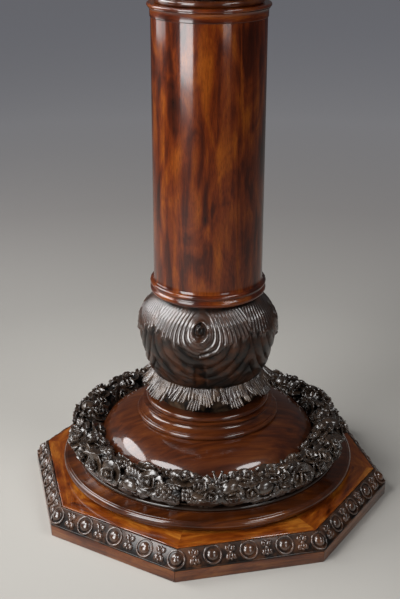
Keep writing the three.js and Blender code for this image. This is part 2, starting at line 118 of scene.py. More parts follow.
def moved(x=0.0, y=0.0, z=0.0):
    """A move by millimetres."""
    return Matrix.Translation((x * MM, y * MM, z * MM))


def spun(angle, axis="Z"):
    return Matrix.Rotation(angle, 4, axis)


def shares(count):
    """From 0 to 1 in equal steps."""
    return [i / count for i in range(count + 1)]


def smooth(low, high, value):
    share = min(1.0, max(0.0, (value - low) / (high - low)))
    return share * share * (3 - 2 * share)


def curve_through(points, at):
    """The value at a place on a smooth curve through (place, value) pairs."""
    last = len(points) - 2
    i = max(0, min(last, sum(1 for place, _ in points if place <= at) - 1))
    (p0, v0), (p1, v1) = points[i], points[i + 1]
    before = points[max(0, i - 1)]
    after = points[min(len(points) - 1, i + 2)]
    slope0 = (v1 - before[1]) / (p1 - before[0])
    slope1 = (after[1] - v0) / (after[0] - p0)
    t = min(1.0, max(0.0, (at - p0) / (p1 - p0)))
    span = p1 - p0
    return (
        (2 * t**3 - 3 * t**2 + 1) * v0
        + (t**3 - 2 * t**2 + t) * span * slope0
        + (-2 * t**3 + 3 * t**2) * v1
        + (t**3 - t**2) * span * slope1
    )


def arc(radius, height, size, start, end, steps=8, squash=1.0):
    """Points of a round stretch of a profile; the angles are in degrees, 0 out and 90 up."""
    angles = [math.radians(start + (end - start) * share) for share in shares(steps)]
    return [(radius + size * math.cos(t), height + squash * size * math.sin(t)) for t in angles]


def sizes(low, high):
    """The height and the radius of a turned piece's box, in millimetres."""
    return (high.z - low.z) / MM, high.x / MM


def outlined(low, points):
    """An outline in metres, from millimetres out and above the foot of a piece's box."""
    return [(radius * MM, low.z + height * MM) for radius, height in points]


def round_edged(box, hole, steps):
    """The outline of a flat ring with a round edge."""
    tall, wide = sizes(*box)
    size = tall / 2
    return outlined(box[0], [(hole, 0), *arc(wide - size, size, size, -90, 90, steps), (hole, tall)])


def face_out(bm):
    bmesh.ops.recalc_face_normals(bm, faces=bm.faces)


def turned(profile, steps=FULL, start=0.0, sweep=TURN):
    """A bmesh spun from an outline of (radius, height) pairs that closes on itself."""
    bm = bmesh.new()
    verts = [bm.verts.new(around(radius, start, height)) for radius, height in profile]
    edges = [bm.edges.new((a, b)) for a, b in zip(verts, verts[1:] + verts[:1])]
    whole = sweep == TURN
    bmesh.ops.spin(
        bm, geom=verts + edges, cent=(0, 0, 0), axis=(0, 0, 1), dvec=(0, 0, 0),
        angle=sweep, steps=steps, use_merge=whole, use_normal_flip=False, use_duplicate=False,
    )
    if not whole:
        rims = [edge for edge in bm.edges if edge.is_boundary]
        bmesh.ops.holes_fill(bm, edges=rims, sides=0)
    bmesh.ops.remove_doubles(bm, verts=bm.verts, dist=1e-6)
    face_out(bm)
    return bm


def as_mesh(bm, name):
    mesh = bpy.data.meshes.new(name)
    bm.to_mesh(mesh)
    bm.free()
    return mesh


def join(bm, more):
    """Adds all of one bmesh to another and frees it."""
    mesh = as_mesh(more, "joined")
    bm.from_mesh(mesh)
    bpy.data.meshes.remove(mesh)


def add_template(bm, template, place):
    """Adds a copy of a template mesh to a bmesh, moved to its place."""
    copy = template.copy()
    copy.transform(place)
    bm.from_mesh(copy)
    bpy.data.meshes.remove(copy)


def added(name, data):
    """A new object in the scene."""
    made = bpy.data.objects.new(name, data)
    bpy.context.scene.collection.objects.link(made)
    return made


def finished(bm, name, nodes, finish, sharp=40):
    """Makes a bmesh a piece that stands for CAD nodes: it hangs under the root body, and the nodes are
    hidden.
    """
    mesh = as_mesh(bm, name)
    mesh.shade_smooth()
    mesh.set_sharp_from_angle(angle=math.radians(sharp))
    mesh.materials.append(finish)
    piece = added(name, mesh)
    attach(piece, "root")
    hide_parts(*nodes)
    return piece


def lay(piece, map_point):
    """Lays a sheet's pattern on a piece: map_point(point, face centre) gives metres along and across."""
    mesh = piece.data
    uv = mesh.uv_layers.new(name="grain")
    for face in mesh.polygons:
        for loop in face.loop_indices:
            point = mesh.vertices[mesh.loops[loop].vertex_index].co
            uv.data[loop].uv = map_point(point, face.center)


def mark_relief(piece, relief):
    """Stores how far each vertex of a carving stands out of its recesses, from 0 to 1; the carved finishes
    paint shade where it is low.
    """
    marks = piece.data.attributes.new("relief", "FLOAT", "POINT")
    for mark, vertex in zip(marks.data, piece.data.vertices):
        mark.value = min(1.0, max(0.0, relief(vertex.co)))


def ease_edges(bm, width, least=25):
    """Rounds the edges that turn by more than this many degrees."""
    edges = [edge for edge in bm.edges if edge.calc_face_angle(0) > math.radians(least)]
    bmesh.ops.bevel(
        bm, geom=edges, offset=width, segments=2, affect="EDGES", profile=0.5, material=-1,
        clamp_overlap=True,
    )


def add_eased(node, finish, width=0.6 * MM):
    """Adds a copy of a CAD node with its sharp edges eased, as a plane and sandpaper leave them."""
    bm = bmesh.new()
    bm.from_mesh(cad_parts[node].data)
    bmesh.ops.remove_doubles(bm, verts=bm.verts, dist=1e-5)
    bmesh.ops.dissolve_limit(
        bm, angle_limit=math.radians(1), verts=bm.verts, edges=bm.edges, use_dissolve_boundaries=False
    )
    ease_edges(bm, width, least=35)
    finished(bm, node + "_finished", [node], finish)


# --- materials ---


def colour(code):
    """An sRGB hex value as linear red, green, blue and alpha."""
    channels = [int(code[i : i + 2], 16) / 255 for i in (1, 3, 5)]
    return [c / 12.92 if c <= 0.04045 else ((c + 0.055) / 1.055) ** 2.4 for c in channels] + [1.0]


def fill(node, inputs):
    """Gives a node its inputs: values, or sockets to link."""
    for name, value in inputs.items():
        if isinstance(value, bpy.types.NodeSocket):
            node.id_data.links.new(value, node.inputs[name])
        else:
            node.inputs[name].default_value = value


def put(tree, kind, inputs=None, stops=(), **settings):
    """Adds a node with its settings, its inputs and its ramp's stops."""
    made = tree.nodes.new(kind)
    for name, value in settings.items():
        setattr(made, name, value)
    fill(made, inputs or {})
    for i, (place, code) in enumerate(stops):
        stop = made.color_ramp.elements[i] if i < 2 else made.color_ramp.elements.new(place)
        stop.position = place
        stop.color = colour(code)
    return made


def new_finish(name):
    """An empty material: its tree, and its surface shader already joined to the output."""
    finish = bpy.data.materials.new(name)
    finish.use_nodes = True
    tree = finish.node_tree
    tree.nodes.clear()
    shader = put(tree, "ShaderNodeBsdfPrincipled")
    put(tree, "ShaderNodeOutputMaterial", {"Surface": shader.outputs[0]})
    return finish, tree, shader


def stretched(tree, place, *sizes):
    """A place measured in a size of its own along each axis, so that a pattern is drawn to scale."""
    scale = [1 / size for size in sizes]
    return put(tree, "ShaderNodeMapping", {"Vector": place, "Scale": scale}).outputs[0]


def noise_over(tree, place, size=1.0, detail=2.0, roughness=0.5, distortion=0.0):
    """Noise round 0.5, in lumps of about this size."""
    inputs = {"Scale": 1 / size, "Detail": detail, "Roughness": roughness, "Distortion": distortion}
    return put(tree, "ShaderNodeTexNoise", {"Vector": place, **inputs}).outputs["Fac"]


def ranged(tree, value, low, high, to_low=0.0, to_high=1.0):
    """A value taken from one range to another, and no further."""
    inputs = {"From Min": low, "From Max": high, "To Min": to_low, "To Max": to_high}
    return put(tree, "ShaderNodeMapRange", {"Value": value, **inputs}).outputs[0]


def mixed(tree, share, first, second):
    inputs = {0: share, 2: first, 3: second}
    return put(tree, "ShaderNodeMix", inputs, data_type="FLOAT").outputs[0]


def blended(tree, share, first, second, blend_type="MIX"):
    inputs = {0: share, 6: first, 7: second}
    return put(tree, "ShaderNodeMix", inputs, data_type="RGBA", blend_type=blend_type).outputs[2]


def toned(tree, value, stops):
    return put(tree, "ShaderNodeValToRGB", {"Fac": value}, stops=stops).outputs["Color"]


def french_polish(shader, coat_roughness=0.075):
    """Shellac rubbed on in thin coats: a clear, level film that mirrors the lamps."""
    fill(shader, {"Roughness": 0.32, "IOR": 1.45, "Specular IOR Level": 0.15})
    fill(shader, {"Coat Weight": 1.0, "Coat Roughness": coat_roughness, "Coat IOR": 1.55})


def figured_mahogany(name, stops, across=11 * MM, along=130 * MM):
    """Knife-cut mahogany veneer with flame figure, french polished: long streaks of dark and golden
    wood, soft clouds across them and fine open pores. Its pattern follows the sheet's own map."""
    figure = 42 * MM
    finish, tree, shader = new_finish(name)
    sheet = put(tree, "ShaderNodeUVMap", uv_map="grain").outputs["UV"]
    streaks = noise_over(tree, stretched(tree, sheet, along, across, 1), 1, 5.0, 0.6, 0.5)
    clouds = noise_over(tree, stretched(tree, sheet, 2.5 * figure, figure, 1), 1, 3.0, 0.55, 1.2)
    pores = noise_over(tree, stretched(tree, sheet, 9 * MM, 0.7 * MM, 1))
    flame = toned(tree, mixed(tree, 0.58, streaks, clouds), stops)
    dust = ranged(tree, pores, 0.35, 0.55, 0.62, 1.0)
    fill(shader, {"Base Color": blended(tree, 1.0, flame, dust, "MULTIPLY")})
    french_polish(shader, coat_roughness=0.095)
    return finish


def turned_mahogany(name, stops):
    """Solid mahogany off the lathe, french polished: plain straight grain that runs through the
    turning from side to side, darker than the veneer."""
    finish, tree, shader = new_finish(name)
    wood = put(tree, "ShaderNodeTexCoord").outputs["Object"]
    streaks = noise_over(tree, stretched(tree, wood, 160 * MM, 9 * MM, 9 * MM), 1, 5.0, 0.6, 0.4)
    clouds = noise_over(tree, stretched(tree, wood, 125 * MM, 62.5 * MM, 62.5 * MM))
    fill(shader, {"Base Color": toned(tree, mixed(tree, 0.5, streaks, clouds), stops)})
    french_polish(shader)
    return finish


def carved_mahogany(name, recess_shade_and_dust, body, worn, wax_roughness=0.13):
    """Carved mahogany, stained near black and waxed: dull in the cuts, rubbed glossy where it stands
    proud.
    The cuts are painted darker, as shade together with dust, so what stands proud is a little browner."""
    finish, tree, shader = new_finish(name)
    wood = put(tree, "ShaderNodeTexCoord").outputs["Object"]
    relief = put(tree, "ShaderNodeAttribute", attribute_name="relief").outputs["Fac"]
    stain = noise_over(tree, wood, 22 * MM, 4.0, 0.6)
    # painted shade and dust: the colour goes from body to the dark recess colour where the carving sinks
    shade = blended(tree, ranged(tree, relief, 0.15, 0.6), colour(recess_shade_and_dust), colour(body))
    warm = blended(tree, ranged(tree, stain, 0.45, 0.75), shade, colour(worn))
    marks = noise_over(tree, wood, 1.6 * MM)
    bump = put(tree, "ShaderNodeBump", {"Height": marks, "Strength": 0.12, "Distance": 0.2 * MM})
    fill(shader, {
        "Base Color": warm,
        "Roughness": ranged(tree, relief, 0.0, 1.0, 0.6, 0.26),
        "Normal": bump.outputs[0],
        "IOR": 1.5,
        "Specular IOR Level": ranged(tree, relief, 0.0, 0.7, 0.1, 0.5),
        "Coat Weight": ranged(tree, relief, 0.0, 0.7, 0.1, 1.0),
        "Coat IOR": 1.6,
        "Coat Roughness": wax_roughness,
    })
    return finish


def bare_pine(name):
    """Pine off the saw and plane, never finished and darkened with age: pale, with brown lines of
    summer wood a few millimetres apart."""
    finish, tree, shader = new_finish(name)
    wood = put(tree, "ShaderNodeTexCoord").outputs["Object"]
    rings = noise_over(tree, stretched(tree, wood, 25 * MM, 3.846 * MM, 25 * MM), 1, 3.0)
    tones = toned(tree, rings, ((0.3, "#8a6438"), (0.6, "#b48c5a")))
    fill(shader, {"Base Color": tones, "Roughness": 0.75})
    return finish


def worked_metal(name, code, roughness):
    """Iron from the forge, or brass from the lathe, dulled with age: a grey or yellow metal with
    patches that shine less."""
    finish, tree, shader = new_finish(name)
    place = put(tree, "ShaderNodeTexCoord").outputs["Object"]
    patches = noise_over(tree, place, 6.25 * MM, 4.0)
    dull = ranged(tree, patches, 0.0, 1.0, roughness - 0.12, roughness + 0.12)
    fill(shader, {"Base Color": colour(code), "Metallic": 1.0, "Roughness": dull})
    return finish


# The woods' tones, from the darkest streaks to the lightest.
SHAFT_TONES = ((0.34, "#1f0802"), (0.44, "#3f1403"), (0.52, "#602506"), (0.64, "#84420d"))
DECK_TONES = ((0.37, "#3a1505"), (0.45, "#74330b"), (0.52, "#924b13"), (0.62, "#b87126"))
SEAT_TONES = ((0.34, "#17100c"), (0.46, "#241812"), (0.56, "#2e2018"), (0.68, "#3a2a20"))
BASE_TONES = ((0.34, "#1e0c03"), (0.46, "#371706"), (0.56, "#4b2209"), (0.68, "#6a3811"))
FASCIA_TONES = ((0.34, "#2a1006"), (0.44, "#4c220c"), (0.52, "#643214"), (0.64, "#7c4a24"))
DOME_TONES = ((0.34, "#241007"), (0.46, "#431d0b"), (0.56, "#582b10"), (0.68, "#6c3d1a"))

shaft_veneer_finish = figured_mahogany("figured_mahogany_french_polished", SHAFT_TONES)
deck_veneer_finish = figured_mahogany("golden_mahogany_french_polished", DECK_TONES, along=90 * MM)
fascia_finish = figured_mahogany("fascia_mahogany_french_polished", FASCIA_TONES, across=6 * MM)
dome_finish = turned_mahogany("red_mahogany_french_polished", DOME_TONES)
base_finish = turned_mahogany("dark_mahogany_french_polished", BASE_TONES)
seat_finish = turned_mahogany("black_stained_mahogany_polished", SEAT_TONES)
carved_finish = carved_mahogany(
    "carved_mahogany_stained_and_waxed", "#0b0604", "#2b180d", "#4c2a16", wax_roughness=0.15
)
wreath_finish = carved_mahogany(
    "carved_mahogany_wreath_waxed", "#0a0705", "#2e231b", "#4c3b2d", wax_roughness=0.22
)
# The collar's light body and worn colours are painted highlight on its ribs.
collar_finish = carved_mahogany(
    "carved_mahogany_collar_painted_highlights", "#0b0705", "#3a2b23", "#66513f", wax_roughness=0.22
)
edge_finish = carved_mahogany("carved_mahogany_edge_waxed", "#0f0906", "#3a2315", "#5f3b24")
pine_finish = bare_pine("bare_pine")
iron_finish = worked_metal("forged_iron", "#4a4744", 0.5)
brass_finish = worked_metal("dull_brass", "#b08d4a", 0.4)

# --- plinth ---

HALF_SIDE = math.pi / SIDES
SHEET_SHIFT = 0.37  # metres of veneer from one side's piece to the next
MITRE_GAP = 0.15 * MM  # left open on each side of a mitre


def mitred(profile):
    """One side of the octagon, facing the front: an outline of (apothem, height) pairs, run along the
    side and cut to the mitre at both ends."""
    bm = bmesh.new()
    slope = math.tan(HALF_SIDE)
    start = [bm.verts.new((-apothem * slope + MITRE_GAP, -apothem, height)) for apothem, height in profile]
    swept = bmesh.ops.extrude_face_region(bm, geom=[bm.faces.new(start)])["geom"]
    for vert in swept:
        if isinstance(vert, bmesh.types.BMVert):
            vert.co.x = -vert.co.x
    face_out(bm)
    return bm


def unrolled(radius, point, centre):
    """How far round a turning a point lies, on the same side of the seam as its face."""
    return radius * (angle_of(centre) + wrapped(angle_of(point) - angle_of(centre)))


def lay_round(radius):
    """A sheet wrapped round the column: along the grain is up."""
    return lambda point, centre: (point.z, unrolled(radius, point, centre))


def lay_band(radius):
    """A strip bent round a turning: along the grain is round the column."""
    return lambda point, centre: (
        unrolled(radius, point, centre), math.hypot(point.x, point.y) + point.z,
    )


def brought_to_front(point, centre):
    """Which side of the octagon a face is on, and a point of it with that side turned to the front."""
    side = round(angle_of(centre) / (2 * HALF_SIDE))
    return side, Matrix.Rotation(-side * 2 * HALF_SIDE, 3, "Z") @ Vector(point)


def taken_to_side(bm, i):
    """Turns a piece made at the front to its own side of the octagon."""
    bmesh.ops.rotate(bm, verts=bm.verts, matrix=Matrix.Rotation(2 * HALF_SIDE * i, 3, "Z"))


def lay_sectors(point, centre):
    """Eight sheets jointed on the mitres: along the grain is along each side."""
    side, local = brought_to_front(point, centre)
    return (local.x + SHEET_SHIFT * side, local.y + local.z)


def add_deck():
    low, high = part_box("deck_panel")
    corner = (cad_high.x - EDGE_LEAN - EDGE_LAND - 0.3 * MM) / math.cos(HALF_SIDE)
    ease = 0.6 * MM
    outline = [
        (BORE * MM, low.z), (corner - ease, low.z), (corner, low.z + ease),
        (corner, high.z - ease), (corner - ease, high.z), (BORE * MM, high.z),
    ]
    bm = turned(outline, steps=SIDES, start=HALF_SIDE)
    deck = finished(bm, "deck_veneered", ["deck_panel"], deck_veneer_finish)
    lay(deck, lay_sectors)


def add_skirt():
    low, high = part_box("skirt_board_1")
    outer, inner = -low.y, -high.y
    for i in range(SIDES):
        bm = mitred([(inner, low.z), (outer, low.z), (outer, high.z), (inner, high.z)])
        ease_edges(bm, 0.7 * MM)
        taken_to_side(bm, i)
        board = finished(bm, f"skirt_{i + 1}", [f"skirt_board_{i + 1}"], fascia_finish)
        lay(board, lay_sectors)
        add_eased(f"glue_block_{i + 1}", pine_finish)


COINS = 4  # spacings along a side
COIN_RADIUS = 14  # millimetres
EDGE_LEAN = 17 * MM
EDGE_FILLET = 2.5 * MM
EDGE_LAND = 1.6 * MM  # flat behind the carving, up to the veneer


def coin_template():
    """A carved roundel: a thick raised rim, a groove and a high domed boss."""
    r = COIN_RADIUS
    outline = outlined(Vector(), (
        (0, -2), (r, -2), (r, 0.6), *arc(r - 1.6, 0.7, 1.6, 0, 180, 8),
        (r - 3.4, 0), (r - 4.4, -0.9), (r - 5, -0.6), *arc(0, -1, r - 5, 10, 90, 9, squash=0.62),
    ))
    return turned(outline, steps=32)


def carved(maker):
    """The mesh of one kind of carving."""
    bm = bmesh.new()
    maker(bm)
    return as_mesh(bm, maker.__name__)


def pillow(
    bm, place, length, width, thick, bend=0.0, point=0.0, crease=0.0, blunt=0.0, rings=6, sides=8
):
    """A carved petal, leaf or rib: a flattened ball that lies along +X of its place, bent up towards
    its tip, drawn to a point, creased along its middle and blunt at its ends. Sizes are in millimetres."""
    made = bmesh.ops.create_uvsphere(bm, u_segments=sides, v_segments=rings, radius=1.0)["verts"]
    for vert in made:
        along = (1 - vert.co.z) / 2
        full = max(0.05, math.hypot(vert.co.x, vert.co.y)) ** -blunt
        side = vert.co.x * full * (1 - point * along**2)
        lift = bend * along**2 - crease * (1 - abs(vert.co.x)) * math.sin(math.pi * along)
        vert.co = (length * along, side * width / 2, vert.co.y * full * thick / 2 + lift)
    bmesh.ops.transform(bm, matrix=place @ Matrix.Scale(MM, 4), verts=made)


def ball(bm, place, radius, squash=1.0, rings=6, sides=8):
    """A carved ball, its radius in millimetres."""
    shape = place @ Matrix.Diagonal((1, 1, squash, 1))
    bmesh.ops.create_uvsphere(bm, u_segments=sides, v_segments=rings, radius=radius * MM, matrix=shape)


def husk_between(bm):
    """What fills the space between two roundels: a pearl and two buds among four small leaves."""
    ball(bm, moved(z=0.6), 3.4, rings=9, sides=14)
    for up in (-1, 1):
        ball(bm, moved(y=up * 9), 2.6, rings=8, sides=12)
        for side in (-1, 1):
            root = moved(side * 0.8, up * 1.2) @ spun(up * (math.pi / 2 - side * 0.62))
            pillow(bm, root, 10.6, 8.4, 6.2, bend=0.4, rings=9, sides=12)


def add_carved_edge():
    low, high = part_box("carved_edge_1")
    foot, head = low.z, high.z
    outer = cad_high.x
    inner = outer - EDGE_LEAN - EDGE_LAND
    outline = [
        (inner, foot), (outer, foot), (outer, foot + EDGE_FILLET - 0.8 * MM),
        (outer - 0.8 * MM, foot + EDGE_FILLET), (outer - 1.6 * MM, foot + EDGE_FILLET),
        (outer - EDGE_LEAN + 1.2 * MM, head - 1.4 * MM), (outer - EDGE_LEAN + 0.4 * MM, head - 0.2 * MM),
        (inner, head),
    ]
    lean = math.atan2(EDGE_LEAN, head - foot - EDGE_FILLET)
    middle = Vector((0, -(outer - EDGE_LEAN / 2 - 1.0 * MM), (foot + EDGE_FILLET + head) / 2))
    face = Matrix.Translation(middle) @ spun(math.pi / 2 - lean, "X")
    length = 2 * -middle.y * math.tan(HALF_SIDE)
    coin = as_mesh(coin_template(), "coin")
    husk = carved(husk_between)
    ends = {k: coin_at_mitre(coin, face, length * (k / COINS - 0.5)) for k in (0, COINS)}
    for i in range(SIDES):
        bm = mitred(outline)
        ease_edges(bm, 0.35 * MM)
        for k in range(COINS + 1):
            along = length * (k / COINS - 0.5)
            if k in ends:
                add_template(bm, ends[k], Matrix())
            else:
                add_template(bm, coin, face @ Matrix.Translation((along, 0, 0)))
            if k < COINS:
                add_template(bm, husk, face @ Matrix.Translation((along + length / COINS / 2, 0, 0)))
        for vert in bm.verts:
            vert.co.y = max(vert.co.y, -outer)
        taken_to_side(bm, i)
        piece = finished(bm, f"coin_moulding_{i + 1}", [f"carved_edge_{i + 1}"], edge_finish)
        mark_relief(piece, lambda point: edge_relief(point, middle, lean))


def coin_at_mitre(coin, face, along):
    """The half of a roundel that stands at the end of a side, cut at the mitre."""
    bm = bmesh.new()
    bm.from_mesh(coin)
    bmesh.ops.transform(bm, matrix=face @ Matrix.Translation((along, 0, 0)), verts=bm.verts)
    end = 1 if along > 0 else -1
    normal = (math.cos(HALF_SIDE) * end, math.sin(HALF_SIDE), 0)
    geom = list(bm.verts) + list(bm.edges) + list(bm.faces)
    cut = bmesh.ops.bisect_plane(
        bm, geom=geom, plane_co=(-MITRE_GAP * end, 0, 0), plane_no=normal, clear_outer=True, dist=1e-6,
    )
    rim = [edge for edge in cut["geom_cut"] if isinstance(edge, bmesh.types.BMEdge)]
    bmesh.ops.holes_fill(bm, edges=rim, sides=0)
    return as_mesh(bm, "coin_at_mitre")


def edge_relief(point, middle, lean):
    """How much of a place on the carved edge stands out of its slope. The flat slope itself stays low and
    so takes the painted shade of the recesses.
    """
    _, local = brought_to_front(point, point)
    out = (local - middle).dot(Vector((0, -math.cos(lean), math.sin(lean))))
    return 0.1 + out / (3.2 * MM)


# --- turned base ---


def add_base():
    low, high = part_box("base_moulding")
    tall, wide = sizes(low, high)
    bead, strip = 7, 3.6
    struck = wide - bead
    middle = strip + bead
    slope_foot = middle + bead
    slope = [(struck + 1.4 - 15.6 * t, slope_foot + 4.4 * t**1.7) for t in shares(10)]
    outline = outlined(low, (
        (BORE, 0), (221, 0), (221, strip - 0.6), (221.6, strip),
        *arc(struck, middle, bead, -80, 60, 24),
        (struck + 2.6, middle + 6.2), (struck + 1.8, slope_foot - 0.4), *slope,
        (208.2, tall - 0.8), (208.2, tall), (BORE, tall),
    ))
    finished(turned(outline), "base_torus", ["base_moulding"], base_finish)

    outline = round_edged(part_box("wreath_seat"), BORE, 10)
    finished(turned(outline), "wreath_seat_ring", ["wreath_seat"], seat_finish)

    low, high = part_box("dome")
    tall, wide = sizes(low, high)
    skirt = 11.5
    flat = 112  # radius of the flat under the neck
    struck = 90  # radius that the crown's sweep is struck from
    sweep = wide - struck
    end = math.acos((flat - struck) / sweep)
    rise = (tall - skirt) / math.sin(end)
    crown = arc(struck, skirt, sweep, 0, math.degrees(end), 48, squash=rise / sweep)
    outline = outlined(low, ((BORE, 0), (wide, 0), *crown, (BORE, tall)))
    finished(turned(outline), "dome_turned", ["dome"], dome_finish)


def add_neck():
    """Half-round, strip, cove, strip and bead, from the dome up."""
    low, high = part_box("neck_moulding")
    tall, wide = sizes(low, high)
    lower_bead, upper_bead, strip = 3.7, 4.3, 2
    foot = 2 * lower_bead + strip  # of the cove
    head = tall - 2 * upper_bead - strip
    hollow = ((0, 105.6), (0.12, 102.4), (0.3, 98.8), (0.55, 97.0), (0.8, 98.4), (1.0, 101.2))
    socket = tall - 20
    outline = outlined(low, (
        (BORE, 0), *arc(wide - lower_bead, lower_bead, lower_bead, -90, 74, 16),
        (106.7, foot - strip + 0.1), (106.7, foot - 0.4), (106.2, foot),
        *[(curve_through(hollow, t), foot + (head - foot) * t) for t in shares(14)],
        (101.6, head + 0.4), (101.6, head + strip - 0.5), (101.1, head + strip - 0.1),
        *arc(91.7, tall - upper_bead, upper_bead, -74, 90, 18),
        (PEG_HOLE, tall), (PEG_HOLE, socket), (BORE, socket),
    ))
    finished(turned(outline), "neck_turned", ["neck_moulding"], dome_finish)


# --- carved wreath ---

WREATH_PARTS = 4
ROLL_RADIUS = 193 * MM
ROLL_HALF_WIDTH = 19 * MM
ROLL_HALF_HEIGHT = 18 * MM
ROLL_HEIGHT = 91 * MM
CARVED_DEPTH = 3 * MM  # how far the wood behind the flowers is cut back
CHISEL = 9 * MM  # size of the hollows that the chisel left there
PART_GAP = 0.0008  # radians left open at each end of a part
WREATH_FOOT = 206 * MM  # the carvings draw in to this radius at their foot
WREATH_FLARE = 0.75  # how fast they may widen with height
dice = random.Random(7)


def round_about(angle, tilt=0.0, out=0.0):
    """A place for a petal: turned about Z by an angle, moved out by millimetres and tilted up."""
    return spun(angle) @ moved(out) @ spun(-tilt, "Y")


def rose(bm):
    """A full-blown rose of three rows of petals, about 33 mm across."""
    for count, length, width, tilt, lift in (
        (5, 16, 17, 0.12, 0.0), (4, 11, 14, 0.6, 2.0), (3, 7, 9.5, 1.1, 4.0),
    ):
        for i in range(count):
            place = moved(z=lift) @ round_about(TURN * (i + 0.37 * lift) / count, tilt, 0.6)
            pillow(bm, place, length, width, 3.2, bend=2.8, blunt=0.3, rings=7, sides=9)


def daisy(bm):
    """An open daisy: broad creased petals round a raised eye, about 29 mm across."""
    petals = 9
    for i in range(petals):
        place = round_about(TURN * i / petals, 0.22 + 0.1 * (i % 2), 3)
        pillow(bm, place, 11.5, 7, 3, bend=1.6, point=0.3, crease=1.2)
    ball(bm, moved(z=2.2), 4.4, squash=0.75, rings=8, sides=12)


def star_flower(bm):
    """A spidery flower of long thin petals that curl up, each with a knob at its tip."""
    petals = 8
    for i in range(petals):
        place = round_about(TURN * (i + 0.2 * math.sin(5 * i)) / petals, 0.25 + 0.2 * (i % 2))
        pillow(bm, place, 15, 4.2, 3.6, bend=3)
        ball(bm, place @ moved(15, 0, 3), 2.1)
    ball(bm, moved(z=2), 4)


def ribbed_leaf(bm):
    """A rose leaf with lobes along both edges, about 30 mm long."""
    pillow(bm, Matrix(), 30, 8, 5, bend=-2, point=0.6, rings=9)
    for i in range(4):
        for side in (-1, 1):
            place = moved(3 + 6 * i, 0, 0.3) @ spun(side * 0.72)
            pillow(bm, place, 14 - 2.2 * i, 8.2, 4.6, bend=-0.6, point=0.4, crease=1)


def blade_leaf(bm):
    """A long blade of grass or iris, creased and arched."""
    pillow(bm, Matrix(), 38, 10, 5, bend=-7, point=0.7, crease=1.6, rings=12)


def berries(bm):
    """A bunch of nine round berries: one on top of eight."""
    ball(bm, moved(z=4.5), 3.5, rings=7, sides=9)
    for i in range(8):
        ball(bm, moved(*around(6.5 if i % 2 else 5.2, TURN * i / 8, 1.4)), 3.5, rings=7, sides=9)


def chestnut(bm):
    """A smooth nut in its open husk."""
    ball(bm, moved(z=3) @ Matrix.Diagonal((1.35, 1, 0.8, 1)), 9.5, rings=12, sides=18)
    for i in range(10):
        place = round_about(TURN * i / 10 + 0.2, 0.85, 11)
        pillow(bm, place, 9, 8.5, 2.2, bend=-2, point=0.3)


def pod(bm):
    """A smooth open pod, a leaf rolled on itself."""
    pillow(bm, Matrix(), 24, 15, 8, bend=2, rings=10, sides=12)
    pillow(bm, moved(2, 5, 2), 22, 8, 6, point=0.4, rings=9)


def bell_flower(bm):
    """A trumpet seen from the side: a cup with a frilled rim."""
    pillow(bm, Matrix(), 15, 9, 8, rings=8)
    for i in range(6):
        pillow(bm, moved(12) @ spun(TURN * i / 6, "X") @ spun(-1, "Y"), 9, 7, 2, bend=-2.5)


# The flowers that stand out at the front: kind, angle round the wreath, angle up the roll, spin.
FRONT_FLOWERS = (
    ("chestnut", 9.3, 31, 10), ("star_flower", -9.3, 78, 20), ("blade_leaf", -49, 8, 155),
    ("ribbed_leaf", -37, 0, 35), ("pod", -43.5, -12, 10), ("daisy", 24.9, 30, 0),
    ("daisy", 16.8, 0, 15), ("rose", -12.2, 16, 0), ("rose", -3.6, 8, 40),
    ("rose", -75, 24, 10), ("bell_flower", -62, 30, 60), ("berries", 45.5, 66, 0),
    ("ribbed_leaf", 33, 8, 200), ("bell_flower", -28, 40, 200), ("berries", -21, 20, 0),
)
FLOWERS = ("rose", "daisy", "bell_flower", "rose", "pod", "rose", "chestnut", "berries", "bell_flower")
# Rows of flowers: angle up the roll and shift. Rows of leaves: angle up the roll, count and lean.
FLOWER_ROWS = ((-14, 0.25), (18, 0.75), (46, 0.2), (82, 0.7), (120, 0.1), (156, 0.6))
FLOWERS_ROUND = 31
DEGREE_ROUND = 3.4  # millimetres in a degree round the wreath
DEGREE_UP = 0.37  # and in a degree up its roll
CLEAR = 10  # millimetres kept free round the large flowers at the front
LEAF_ROWS = ((-40, 60, 270), (-8, 50, 200), (26, 50, 180), (64, 44, 10), (100, 40, 170), (150, 40, 20))


def on_roll(angle, rise, spin, sink=0.0):
    """A place on the wreath's roll, both angles in degrees, with Z pointing out of the wood."""
    a, t = math.radians(angle), math.radians(rise)
    out = Vector((math.cos(t) / ROLL_HALF_WIDTH, math.sin(t) / ROLL_HALF_HEIGHT)).normalized()
    along = Vector((math.cos(a), math.sin(a), 0))
    normal = around(out.x, a, out.y)
    spot = around(
        ROLL_RADIUS + (ROLL_HALF_WIDTH - sink) * math.cos(t), a,
        ROLL_HEIGHT + (ROLL_HALF_HEIGHT - sink) * math.sin(t),
    )
    basis = Matrix((along, normal.cross(along), normal)).transposed().to_4x4()
    return Matrix.Translation(spot) @ basis @ spun(math.radians(spin))


